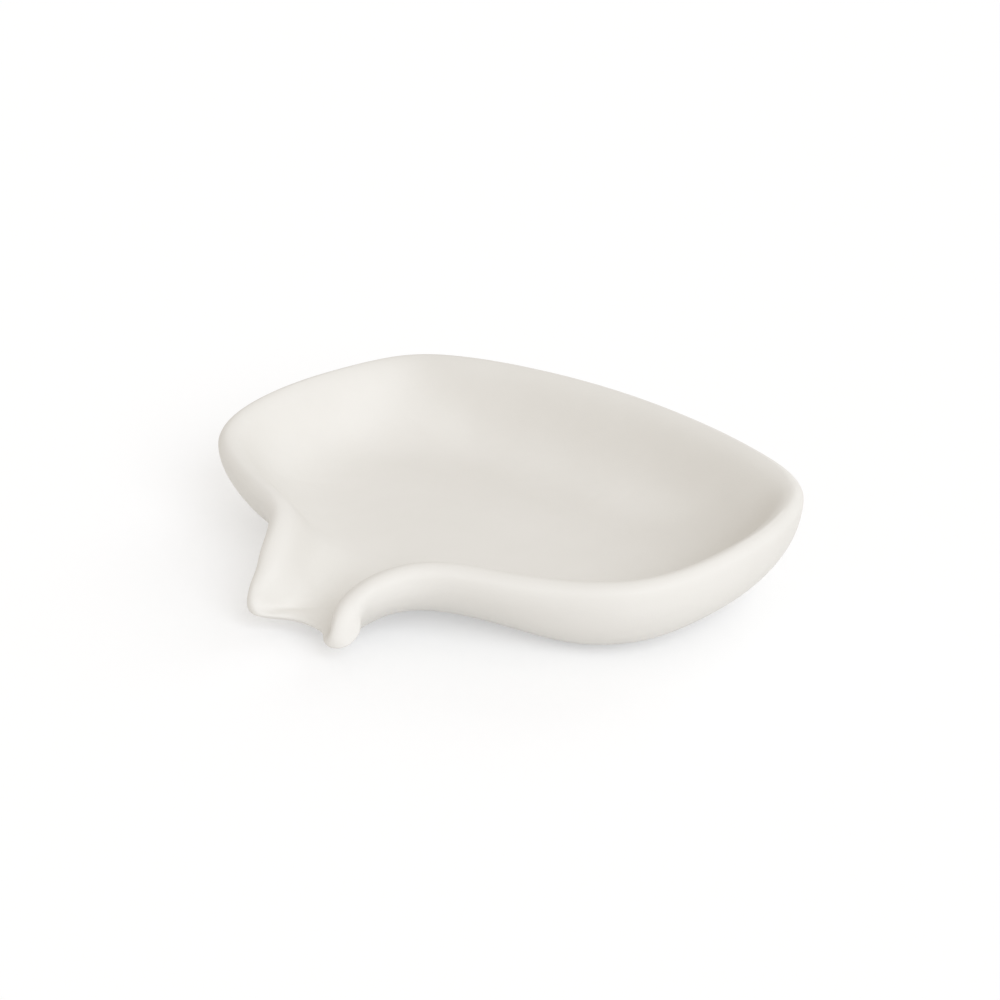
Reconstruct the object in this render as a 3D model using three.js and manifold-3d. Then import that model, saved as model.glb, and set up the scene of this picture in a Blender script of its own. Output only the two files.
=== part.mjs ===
// Soap dish with a pouring spout, standing on four grip feet.
// Millimetres, +Z up. The spout points along -Y and the dish is mirrored about X = 0.
import * as THREE from 'three';
import { mergeVertices } from 'three/addons/utils/BufferGeometryUtils.js';
import Module from 'manifold-3d';

// The dish is drawn with the middle of its bowl at Y = 0, then moved so that its plan is centred.
const PLAN_SHIFT = 9.2;

// Heights above the table
const BASE_HEIGHT = 1; // flat underside of the dish, held up by the feet
const FLOOR_HEIGHT = 8.6; // floor of the bowl, level with Y = 0
const FLOOR_FALL = 0.02; // drop of the floor for each millimetre towards the spout
const SPOUT_START = -14; // Y where the floor starts to fall faster, into the spout
const SPOUT_FALL = 0.0009; // how fast that fall grows

// The rim is a round bead along the crest of the wall
const RIM_BEAD = 2.8; // radius of the bead round the bowl

// Places round the right half of the rim, from the middle of the mouth to the middle of the back.
// rim: x, y and height of the crest. bead: the bead's reach outside the crest, and drop its depth.
// lean: degrees that the crest leans forward of upright.
// round: how far the inner wall runs straight in from the crest before it falls.
// steep: how much further it falls just below the crest, as a share of its height.
// sweep: how far it runs level before it meets the floor.
// belly: share of the outer wall's height that stays nearly upright below the rim.
const STATIONS = [
  { name: 'mouth', rim: [0, -59.8, 5.9], bead: 0.8, lean: 25, round: 1.4, sweep: 3 },
  { name: 'web', rim: [6, -61.2, 6.1], bead: 0.8, lean: 25, round: 1.4, sweep: 3 },
  { name: 'toe', rim: [10.6, -65, 6.8], bead: 1.2, lean: 30, round: 2.4, sweep: 4 },
  { name: 'tip', rim: [12.6, -65.6, 9.1], bead: 2.6, drop: 4.6, lean: 34, round: 2.6, sweep: 5, belly: 0.1 },
  { name: 'lip end', rim: [13.2, -62, 15.4], bead: 3.1, lean: 12, round: 4.2, sweep: 7, belly: 0.2 },
  { name: 'lip', rim: [16.3, -54.6, 20.6], bead: 2.9, round: 5, sweep: 9, belly: 0.42 },
  { name: 'neck', rim: [22.8, -46.6, 22.8], sweep: 14, belly: 0.4 },
  { name: 'flare', rim: [37, -39.6, 22.9], belly: 0.3 },
  { name: 'cheek', rim: [52.8, -32.5, 22.8], belly: 0.28 },
  { name: 'lobe', rim: [65.4, -23.3, 23.8], belly: 0.42 },
  { name: 'side', rim: [72, 0.5, 25.5], sweep: 20, steep: 0.36 },
  { name: 'haunch', rim: [68.6, 24, 26.4], sweep: 21, steep: 0.36 },
  { name: 'corner', rim: [62, 35.4, 27.6], sweep: 20, steep: 0.3 },
  { name: 'temple', rim: [48, 40, 29.6], sweep: 22, steep: 0.42 },
  { name: 'shoulder', rim: [25, 43.3, 31], sweep: 20, steep: 0.34 },
  { name: 'back', rim: [0, 44.3, 31.6], sweep: 18, steep: 0.28 },
];

// Where the wall stands at each of those places.
// floor: where the inner wall meets the floor. foot: where the outer wall meets the underside.
// lift: how far the underside stands above the flat base.
const FOOTPRINT = {
  mouth: { floor: [0, -54], foot: [0, -54], lift: 2.4 },
  web: { floor: [2.2, -54.2], foot: [3, -54], lift: 2.4 },
  toe: { floor: [2.9, -53.6], foot: [4.2, -53.6], lift: 2.4 },
  tip: { floor: [3.2, -52.2], foot: [4.9, -52.8], lift: 2.2 },
  'lip end': { floor: [3.3, -49], foot: [5.8, -50.5], lift: 1.8 },
  lip: { floor: [3.5, -43.5], foot: [4.8, -39.5], lift: 2.4 },
  neck: { floor: [5, -31], foot: [8.6, -28.3], lift: 1 },
  flare: { floor: [13.5, -21], foot: [26.3, -23], lift: 0.2 },
  cheek: { floor: [26.5, -13.5], foot: [43.4, -20.8] },
  lobe: { floor: [39, -7], foot: [51.2, -13] },
  side: { floor: [42.5, 2.5], foot: [53, 2] },
  haunch: { floor: [38.5, 10.8], foot: [52.4, 15.3] },
  corner: { floor: [31, 15.2], foot: [50, 24] },
  temple: { floor: [22, 18.3], foot: [43.5, 29] },
  shoulder: { floor: [11, 20.3], foot: [23, 30.5] },
  back: { floor: [0, 20.8], foot: [0, 31] },
};

// Section of the wall
const WALL_BELLY = 0.5; // the outer wall's belly, where its place names no other
const WALL_TOE = 0.4; // share of the outer wall's reach that runs level out from its foot
const LEAST_FALL = 3; // the outer wall is shaped as though it were at least this high
const INNER_ROUND = 5; // how far the inner wall runs straight in from the crest
const INNER_STEEP = 0.28; // the inner wall's extra fall, where its place names no other
const FLOOR_SWEEP = 19; // how far the inner wall runs level before it meets the floor

// Fineness of the mesh
const STEP_LENGTH = 4.2;
const LEAST_STEPS = 4;
const OUTER_STEPS = 7;
const BEAD_STEPS = 4;
const INNER_STEPS = 8;
const FLOOR_COLUMNS = 8;
const SPLINE_PASSES = 60;

// Hollow under the bowl, which leaves a ring to stand on
const HOLLOW = { width: 62, depth: 30, centreY: 4, corner: 13, height: 3 };

// Grip feet: round rubber pads set into shallow pockets under the base
const FOOT_RADIUS = 5;
const FOOT_EDGE = 0.5;
const POCKET_DEPTH = 1.4;
const CLEARANCE = 0.3;
const ROUND_SIDES = 24;
const FEET = [
  { name: 'grip_foot_front_right', x: 43, y: -9 },
  { name: 'grip_foot_back_right', x: 44, y: 17 },
  { name: 'grip_foot_back_left', x: -44, y: 17 },
  { name: 'grip_foot_front_left', x: -43, y: -9 },
];

const dishFinish = new THREE.MeshStandardMaterial({ color: '#e6e3dc', roughness: 0.72, metalness: 0 });
const gripFinish = new THREE.MeshStandardMaterial({ color: '#b9b6af', roughness: 0.85, metalness: 0 });

// The numbers that the wall's section needs, at one place round the rim.
function measures(station, side) {
  const [x, y, height] = station.rim;
  const { floor, foot, lift = 0 } = FOOTPRINT[station.name];
  const { bead = RIM_BEAD, drop = bead, belly = WALL_BELLY, lean = 0 } = station;
  const { round = INNER_ROUND, sweep = FLOOR_SWEEP, steep = INNER_STEEP } = station;
  return {
    x: side * x,
    y,
    height,
    bead,
    drop,
    belly,
    lean,
    round,
    sweep,
    steep,
    floorX: side * floor[0],
    floorY: floor[1],
    footX: side * foot[0],
    footY: foot[1],
    lift,
  };
}

// A smooth closed curve of one number round the rim, through its value at every station.
// Returns the value and its rate of change a share of the way from station i to the next.
function closedSpline(gaps, values) {
  const count = values.length;
  const next = (i) => (i + 1) % count;
  const previous = (i) => (i + count - 1) % count;
  const slopes = values.map((value, i) => (values[next(i)] - value) / gaps[i]);
  const bends = values.map(() => 0);
  for (let pass = 0; pass < SPLINE_PASSES; pass += 1) {
    for (let i = 0; i < count; i += 1) {
      const before = previous(i);
      const pull = 6 * (slopes[i] - slopes[before]);
      const held = gaps[before] * bends[before] + gaps[i] * bends[next(i)];
      bends[i] = (pull - held) / (2 * (gaps[before] + gaps[i]));
    }
  }
  return (i, share) => {
    const gap = gaps[i];
    const done = share * gap;
    const left = gap - done;
    const [from, to] = [bends[i], bends[next(i)]];
    const arch = (from * left ** 3 + to * done ** 3) / (6 * gap);
    const chord = values[i] + slopes[i] * done;
    const sag = (gap / 6) * (from * left + to * done);
    const turn = (to * done ** 2 - from * left ** 2) / (2 * gap);
    return { value: arch + chord - sag, rate: turn + slopes[i] - (gap / 6) * (to - from) };
  };
}

// Height of the floor, which falls to the spout.
function floorHeight(y) {
  const past = Math.max(0, SPOUT_START - y);
  return FLOOR_HEIGHT + FLOOR_FALL * y - SPOUT_FALL * past ** 2;
}

// Points along a smooth curve from the first of its handles to the last, pulled by those between.
function pulledCurve(handles, steps) {
  const points = [];
  for (let k = 0; k <= steps; k += 1) {
    let row = handles;
    while (row.length > 1) {
      row = row.slice(1).map((handle, i) => row[i].clone().lerp(handle, k / steps));
    }
    points.push(row[0]);
  }
  return points;
}

// One section of the wall: up the outside, over the bead and down the inside to the floor.
function wallSection(at, rate) {
  const along = new THREE.Vector3(rate.x, rate.y, rate.height).normalize();
  const lean = THREE.MathUtils.degToRad(at.lean);
  const outward = along.clone().cross(new THREE.Vector3(0, -Math.sin(lean), Math.cos(lean)));
  outward.normalize();
  const upward = outward.clone().cross(along);

  const crest = new THREE.Vector3(at.x, at.y, at.height);
  const brim = crest.clone().addScaledVector(outward, at.bead).addScaledVector(upward, -at.drop);
  const foot = new THREE.Vector3(at.footX, at.footY, BASE_HEIGHT + Math.max(at.lift, 0));
  const floor = new THREE.Vector3(at.floorX, at.floorY, floorHeight(at.floorY));

  const fall = Math.max(brim.z - foot.z, LEAST_FALL);
  const belly = brim.clone().addScaledVector(upward, -at.belly * fall);
  const toe = foot.clone().lerp(brim, WALL_TOE).setZ(foot.z);
  const outer = pulledCurve([foot, toe, belly, brim], OUTER_STEPS);

  const bead = [];
  for (let k = 1; k < BEAD_STEPS; k += 1) {
    const turn = (Math.PI / 2) * (k / BEAD_STEPS);
    const point = brim.clone().addScaledVector(outward, at.bead * (Math.cos(turn) - 1));
    bead.push(point.addScaledVector(upward, at.drop * Math.sin(turn)));
  }

  const inward = floor.clone().sub(crest).setZ(0);
  const run = inward.length();
  inward.normalize();
  const shoulder = crest.clone().addScaledVector(outward, -Math.min(at.round, 0.35 * run));
  const sweep = floor.clone().addScaledVector(inward, -Math.min(at.sweep, 0.68 * run));
  const depth = at.steep * Math.max(crest.z - floor.z, 0);
  const flank = shoulder.clone().lerp(sweep, 0.35).addScaledVector(upward, -depth);
  const inner = pulledCurve([crest, shoulder, flank, sweep, floor], INNER_STEPS);
  return [...outer, ...bead, ...inner];
}

// Every section round the rim, anticlockwise from the middle of the mouth.
function wallSections() {
  const right = STATIONS.map((station) => measures(station, 1));
  const left = STATIONS.slice(1, -1).reverse().map((station) => measures(station, -1));
  const loop = [...right, ...left];
  const crests = loop.map((at) => new THREE.Vector3(at.x, at.y, at.height));
  const gaps = crests.map((crest, i) => crest.distanceTo(crests[(i + 1) % loop.length]));
  const splines = {};
  for (const key of Object.keys(loop[0])) {
    splines[key] = closedSpline(gaps, loop.map((at) => at[key]));
  }
  const sections = [];
  gaps.forEach((gap, i) => {
    const steps = Math.max(LEAST_STEPS, Math.round(gap / STEP_LENGTH));
    for (let k = 0; k < steps; k += 1) {
      const at = {};
      const rate = {};
      for (const [key, spline] of Object.entries(splines)) {
        const { value, rate: change } = spline(i, k / steps);
        at[key] = value;
        rate[key] = change;
      }
      sections.push(wallSection(at, rate));
    }
  });
  return sections;
}

// The dish before anything is cut from it: the wall, the floor and the flat underside.
function dishShell() {
  const sections = wallSections();
  const around = sections.length;
  const rows = sections[0].length;
  const points = sections.flat();
  const vertex = (i, row) => ((i + around) % around) * rows + row;
  const triangles = [];
  const quad = (a, b, c, d) => {
    if (a !== d) triangles.push(a, b, d);
    if (b !== c) triangles.push(b, c, d);
  };
  for (let i = 0; i < around; i += 1) {
    for (let row = 0; row + 1 < rows; row += 1) {
      quad(vertex(i, row), vertex(i + 1, row), vertex(i + 1, row + 1), vertex(i, row + 1));
    }
  }
  // Floor and underside run straight across from each right-hand section to its mirror image.
  const top = rows - 1;
  const across = [];
  for (let i = 0; i <= around / 2; i += 1) {
    const [right, left] = [vertex(i, top), vertex(-i, top)];
    const line = [right];
    for (let k = 1; k < FLOOR_COLUMNS && right !== left; k += 1) {
      line.push(points.push(points[right].clone().lerp(points[left], k / FLOOR_COLUMNS)) - 1);
    }
    while (line.length <= FLOOR_COLUMNS) line.push(left);
    across.push(line);
  }
  for (let i = 0; i < around / 2; i += 1) {
    const [near, far] = [across[i], across[i + 1]];
    for (let k = 0; k < FLOOR_COLUMNS; k += 1) quad(near[k], far[k], far[k + 1], near[k + 1]);
    quad(vertex(-i, 0), vertex(-i - 1, 0), vertex(i + 1, 0), vertex(i, 0));
  }
  const geometry = new THREE.BufferGeometry().setFromPoints(points);
  geometry.setIndex(triangles);
  return geometry;
}

// A flat-ended round solid standing on z = 0, with its lower edge rounded off.
function roundPad(radius, height, edge) {
  const profile = new THREE.Path();
  profile.moveTo(0, 0);
  profile.lineTo(radius - edge, 0);
  if (edge > 0) profile.absarc(radius - edge, edge, edge, -Math.PI / 2, 0, false);
  profile.lineTo(radius, height);
  profile.lineTo(0, height);
  return new THREE.LatheGeometry(profile.getPoints(2), ROUND_SIDES);
}

// The hollow's outline: a rectangle with round corners.
function hollowBlock() {
  const { width, depth, centreY, corner, height } = HOLLOW;
  const [x, y] = [width / 2 - corner, depth / 2 - corner];
  const outline = new THREE.Shape();
  outline.absarc(x, -y, corner, -Math.PI / 2, 0, false);
  outline.absarc(x, y, corner, 0, Math.PI / 2, false);
  outline.absarc(-x, y, corner, Math.PI / 2, Math.PI, false);
  outline.absarc(-x, -y, corner, Math.PI, 1.5 * Math.PI, false);
  const block = new THREE.ExtrudeGeometry(outline, {
    depth: BASE_HEIGHT + height,
    bevelEnabled: false,
    curveSegments: 8,
  });
  return block.translate(0, centreY, 0);
}

const wasm = await Module();
wasm.setup();

// A closed geometry as a solid that can be cut. Corners that share a place become one.
function solidOf(geometry) {
  const bare = new THREE.BufferGeometry();
  bare.setAttribute('position', geometry.getAttribute('position'));
  bare.setIndex(geometry.index);
  const joined = mergeVertices(bare, 0.001);
  const triangles = [];
  for (let i = 0; i < joined.index.count; i += 3) {
    const [a, b, c] = joined.index.array.slice(i, i + 3);
    if (a !== b && b !== c && c !== a) triangles.push(a, b, c);
  }
  const vertProperties = new Float32Array(joined.getAttribute('position').array);
  const triVerts = new Uint32Array(triangles);
  return new wasm.Manifold(new wasm.Mesh({ numProp: 3, vertProperties, triVerts }));
}

function geometryOf(solid) {
  const { vertProperties, triVerts } = solid.getMesh();
  const geometry = new THREE.BufferGeometry();
  geometry.setAttribute('position', new THREE.BufferAttribute(vertProperties, 3));
  geometry.setIndex(new THREE.BufferAttribute(triVerts, 1));
  geometry.computeVertexNormals();
  return geometry;
}

function dishBody() {
  let dish = solidOf(dishShell()).subtract(solidOf(hollowBlock()));
  for (const { x, y } of FEET) {
    const pocket = roundPad(FOOT_RADIUS + CLEARANCE, BASE_HEIGHT + POCKET_DEPTH, 0);
    dish = dish.subtract(solidOf(pocket.rotateX(Math.PI / 2).translate(x, y, 0)));
  }
  const mesh = new THREE.Mesh(geometryOf(dish), dishFinish);
  mesh.name = 'dish_body';
  return mesh;
}

function gripFoot({ name, x, y }) {
  const pad = roundPad(FOOT_RADIUS, BASE_HEIGHT + POCKET_DEPTH - CLEARANCE, FOOT_EDGE);
  const mesh = new THREE.Mesh(pad, gripFinish);
  mesh.name = name;
  mesh.rotation.x = Math.PI / 2;
  mesh.position.set(x, y, 0);
  return mesh;
}

const soapDish = new THREE.Group();
soapDish.add(dishBody(), ...FEET.map(gripFoot));

soapDish.position.y = PLAN_SHIFT;

export default soapDish;
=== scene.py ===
"""Looks of a soap dish with a pouring spout: a matte moulded dish on four rubber grip feet.

Metres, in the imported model's frame: +Z up, the spout towards -Y, the table at Z = 0.
"""
from math import pi, radians

import bpy
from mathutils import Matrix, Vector


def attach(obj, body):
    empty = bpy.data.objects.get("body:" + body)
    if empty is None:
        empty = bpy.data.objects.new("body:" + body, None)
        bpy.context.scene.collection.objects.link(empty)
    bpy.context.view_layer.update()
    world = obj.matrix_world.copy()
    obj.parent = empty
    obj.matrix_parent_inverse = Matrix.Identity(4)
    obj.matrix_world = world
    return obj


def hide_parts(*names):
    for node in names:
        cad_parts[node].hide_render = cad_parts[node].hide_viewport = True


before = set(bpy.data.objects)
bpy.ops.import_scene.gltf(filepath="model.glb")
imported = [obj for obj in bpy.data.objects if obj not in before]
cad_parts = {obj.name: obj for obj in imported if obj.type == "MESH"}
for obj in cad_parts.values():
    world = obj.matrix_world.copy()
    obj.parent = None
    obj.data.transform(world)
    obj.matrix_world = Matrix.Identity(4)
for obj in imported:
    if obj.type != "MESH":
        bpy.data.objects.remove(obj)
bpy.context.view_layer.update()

# Camera
CAMERA_PLACE = Vector((0.395, -0.4235, 0.2695))
CAMERA_AIM = Vector((-0.0023, 0.0154, 0.0134))
CAMERA_LENS = 96.6

# Light: a level of 1 on a surface that faces it shows a colour as written
ROOM_LIGHT = (0.712, 0.684, 0.650)
LAMP_SPREAD = radians(35)
KEY = {"place": Vector((1.017, -0.423, 0.689)), "light": (0.417, 0.445, 0.487)}
BACK = {"place": Vector((-0.046, 1.101, 0.689)), "light": (0.102, 0.110, 0.118)}

# Table
TABLE_SIZE = 6.0
TABLE_SHADE = 0.97
TABLE_GLOW = 0.42  # share of plain white in what is seen of the table
TABLE_WHITE = 1.075  # strength of that white, which lifts the lit table just to full white

# Materials: nearly all of a noise lies between these values
NOISE_LOW = 0.3
NOISE_HIGH = 0.7

# Dish
MERGE_GAP = 1e-6  # corners that are closer than this are one
QUAD_ANGLE = radians(70)  # how uneven two triangles may be to become one quad
SHARP_EDGE = radians(35)  # edges that turn more than this stay sharp
SMOOTH_LEVELS = 2
FEET = [
    "grip_foot_front_right",
    "grip_foot_back_right",
    "grip_foot_back_left",
    "grip_foot_front_left",
]


def pick_only(thing):
    """Makes one object the only one selected, and the active one."""
    bpy.ops.object.select_all(action="DESELECT")
    thing.select_set(True)
    bpy.context.view_layer.objects.active = thing


def aim_at(thing, target):
    """Turns a camera or lamp to look at a point, with its top up."""
    thing.rotation_euler = (target - thing.location).to_track_quat("-Z", "Y").to_euler()


def seen_directly(tree):
    """1 for what the camera, a reflection or a clear piece sees, and 0 for light on a surface."""
    path = tree.nodes.new("ShaderNodeLightPath")
    seen = path.outputs["Is Camera Ray"]
    for ray in ("Is Glossy Ray", "Is Transmission Ray"):
        either = tree.nodes.new("ShaderNodeMath")
        either.operation = "MAXIMUM"
        tree.links.new(seen, either.inputs[0])
        tree.links.new(path.outputs[ray], either.inputs[1])
        seen = either.outputs["Value"]
    return seen


def mixed(tree, share, first, second):
    """One shader mixed into another, by a share that is a number or a socket."""
    mix = tree.nodes.new("ShaderNodeMixShader")
    if isinstance(share, float):
        mix.inputs["Fac"].default_value = share
    else:
        tree.links.new(share, mix.inputs["Fac"])
    tree.links.new(first, mix.inputs[1])
    tree.links.new(second, mix.inputs[2])
    return mix.outputs["Shader"]


class Finish:
    """A material made of nodes, with short calls for the ones that are used here."""

    def __init__(self, name):
        self.material = bpy.data.materials.new(name)
        self.material.use_nodes = True
        self.tree = self.material.node_tree
        self.nodes = self.tree.nodes
        self.links = self.tree.links
        self.nodes.clear()
        self.output = self.nodes.new("ShaderNodeOutputMaterial")
        self.place = self.nodes.new("ShaderNodeTexCoord").outputs["Object"]

    def noise(self, scale, detail):
        """Uneven values, about 0 to 1, with this many swells to the metre."""
        node = self.nodes.new("ShaderNodeTexNoise")
        node.inputs["Scale"].default_value = scale
        node.inputs["Detail"].default_value = detail
        self.links.new(self.place, node.inputs["Vector"])
        return node.outputs["Fac"]

    def spread(self, value, low, high):
        """A noise stretched to run from low to high."""
        node = self.nodes.new("ShaderNodeMapRange")
        node.inputs["From Min"].default_value = NOISE_LOW
        node.inputs["From Max"].default_value = NOISE_HIGH
        node.inputs["To Min"].default_value = low
        node.inputs["To Max"].default_value = high
        self.links.new(value, node.inputs["Value"])
        return node.outputs["Result"]

    def between(self, share, first, second):
        """A colour that runs from the first to the second as the share grows."""
        node = self.nodes.new("ShaderNodeMix")
        node.data_type = "RGBA"
        colours = [socket for socket in node.inputs if socket.type == "RGBA"]
        colours[0].default_value = first
        colours[1].default_value = second
        self.links.new(share, node.inputs["Factor"])
        return next(socket for socket in node.outputs if socket.type == "RGBA")

    def bump(self, height, depth, strength, under=None):
        """The surface tilted by a fine relief, on top of another relief where one is given."""
        node = self.nodes.new("ShaderNodeBump")
        node.inputs["Distance"].default_value = depth
        node.inputs["Strength"].default_value = strength
        self.links.new(height, node.inputs["Height"])
        if under is not None:
            self.links.new(under, node.inputs["Normal"])
        return node.outputs["Normal"]

    def surface(self, colour, roughness, normal, specular):
        """The finished surface, from all of its parts."""
        shader = self.nodes.new("ShaderNodeBsdfPrincipled")
        self.links.new(colour, shader.inputs["Base Color"])
        self.links.new(roughness, shader.inputs["Roughness"])
        self.links.new(normal, shader.inputs["Normal"])
        shader.inputs["Specular IOR Level"].default_value = specular
        self.links.new(shader.outputs["BSDF"], self.output.inputs["Surface"])


def moulded_off_white():
    """Matte warm off-white moulding with a fine soft-touch grain."""
    finish = Finish("moulded_off_white")
    colour = finish.between(
        finish.spread(finish.noise(scale=55, detail=3), low=0, high=1),
        (0.752, 0.730, 0.686, 1.0),
        (0.768, 0.746, 0.704, 1.0),
    )
    roughness = finish.spread(finish.noise(scale=240, detail=3), low=0.60, high=0.70)
    swell = finish.bump(finish.noise(scale=32, detail=1), depth=0.0004, strength=0.05)
    fine = finish.noise(scale=2600, detail=4)
    grain = finish.bump(fine, depth=0.00004, strength=0.5, under=swell)
    finish.surface(colour, roughness, grain, specular=0.4)
    return finish.material


def grip_rubber():
    """Pale grey rubber with a dusty, slightly uneven face."""
    finish = Finish("grip_rubber")
    colour = finish.between(
        finish.spread(finish.noise(scale=420, detail=3), low=0, high=1),
        (0.44, 0.42, 0.39, 1.0),
        (0.52, 0.50, 0.47, 1.0),
    )
    roughness = finish.spread(finish.noise(scale=900, detail=2), low=0.78, high=0.92)
    grain = finish.bump(finish.noise(scale=3200, detail=3), depth=0.00005, strength=0.6)
    finish.surface(colour, roughness, grain, specular=0.3)
    return finish.material


def white_table():
    """A plain pale table. Where it is seen it is lifted to white, with the dish's shadow kept."""
    finish = Finish("white_table")
    plain = finish.nodes.new("ShaderNodeBsdfDiffuse")
    plain.inputs["Color"].default_value = (TABLE_SHADE, TABLE_SHADE, TABLE_SHADE, 1.0)
    white = finish.nodes.new("ShaderNodeEmission")
    white.inputs["Strength"].default_value = TABLE_WHITE
    lifted = mixed(finish.tree, TABLE_GLOW, plain.outputs["BSDF"], white.outputs["Emission"])
    seen = seen_directly(finish.tree)
    both = mixed(finish.tree, seen, plain.outputs["BSDF"], lifted)
    finish.links.new(both, finish.output.inputs["Surface"])
    return finish.material


def set_camera():
    bpy.ops.object.camera_add(location=CAMERA_PLACE)
    camera = bpy.context.object
    camera.data.lens = CAMERA_LENS
    aim_at(camera, CAMERA_AIM)
    bpy.context.scene.camera = camera


def set_lamp(name, place, light):
    """A wide soft lamp that gives what faces it the light that is named."""
    bpy.ops.object.light_add(type="SUN", location=place)
    lamp = bpy.context.object
    lamp.name = name
    lamp.data.angle = LAMP_SPREAD
    level = max(light)
    lamp.data.color = [part / level for part in light]
    lamp.data.energy = pi * level
    aim_at(lamp, Vector((0, 0, 0)))


def set_room():
    """Pale surroundings: plain white where they are seen, a little less and warmer as a light."""
    world = bpy.data.worlds.new("white_room")
    world.use_nodes = True
    tree = world.node_tree
    light = tree.nodes["Background"]
    light.inputs["Color"].default_value = (*ROOM_LIGHT, 1.0)
    white = tree.nodes.new("ShaderNodeBackground")
    white.inputs["Color"].default_value = (1.0, 1.0, 1.0, 1.0)
    seen = seen_directly(tree)
    both = mixed(tree, seen, light.outputs["Background"], white.outputs["Background"])
    tree.links.new(both, tree.nodes["World Output"].inputs["Surface"])
    bpy.context.scene.world = world


def set_table():
    bpy.ops.mesh.primitive_plane_add(size=TABLE_SIZE)
    table = bpy.context.object
    table.name = "table"
    table.data.materials.append(white_table())


def smooth_dish(finish):
    """The dish: the moulding's own shape, refined until its curves are smooth."""
    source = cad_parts["dish_body"]
    dish = bpy.data.objects.new("smooth_dish", source.data.copy())
    bpy.context.collection.objects.link(dish)
    pick_only(dish)
    bpy.ops.object.mode_set(mode="EDIT")
    bpy.ops.mesh.select_all(action="SELECT")
    bpy.ops.mesh.remove_doubles(threshold=MERGE_GAP)
    bpy.ops.mesh.tris_convert_to_quads(face_threshold=QUAD_ANGLE, shape_threshold=QUAD_ANGLE)
    bpy.ops.mesh.select_all(action="DESELECT")
    bpy.ops.mesh.edges_select_sharp(sharpness=SHARP_EDGE)
    bpy.ops.transform.edge_crease(value=1.0)
    bpy.ops.object.mode_set(mode="OBJECT")
    refine = dish.modifiers.new("refine", "SUBSURF")
    refine.levels = SMOOTH_LEVELS
    refine.render_levels = SMOOTH_LEVELS
    bpy.ops.object.modifier_apply(modifier=refine.name)
    bpy.ops.object.shade_smooth_by_angle(angle=SHARP_EDGE)
    dish.data.materials.clear()
    dish.data.materials.append(finish)
    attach(dish, "root")
    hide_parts("dish_body")


def rubber_feet(finish):
    for name in FEET:
        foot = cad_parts[name]
        foot.data.materials.clear()
        foot.data.materials.append(finish)


bpy.context.scene.view_settings.view_transform = "Standard"
set_camera()
set_lamp("key_lamp", **KEY)
set_lamp("back_lamp", **BACK)
set_room()
set_table()
smooth_dish(moulded_off_white())
rubber_feet(grip_rubber())
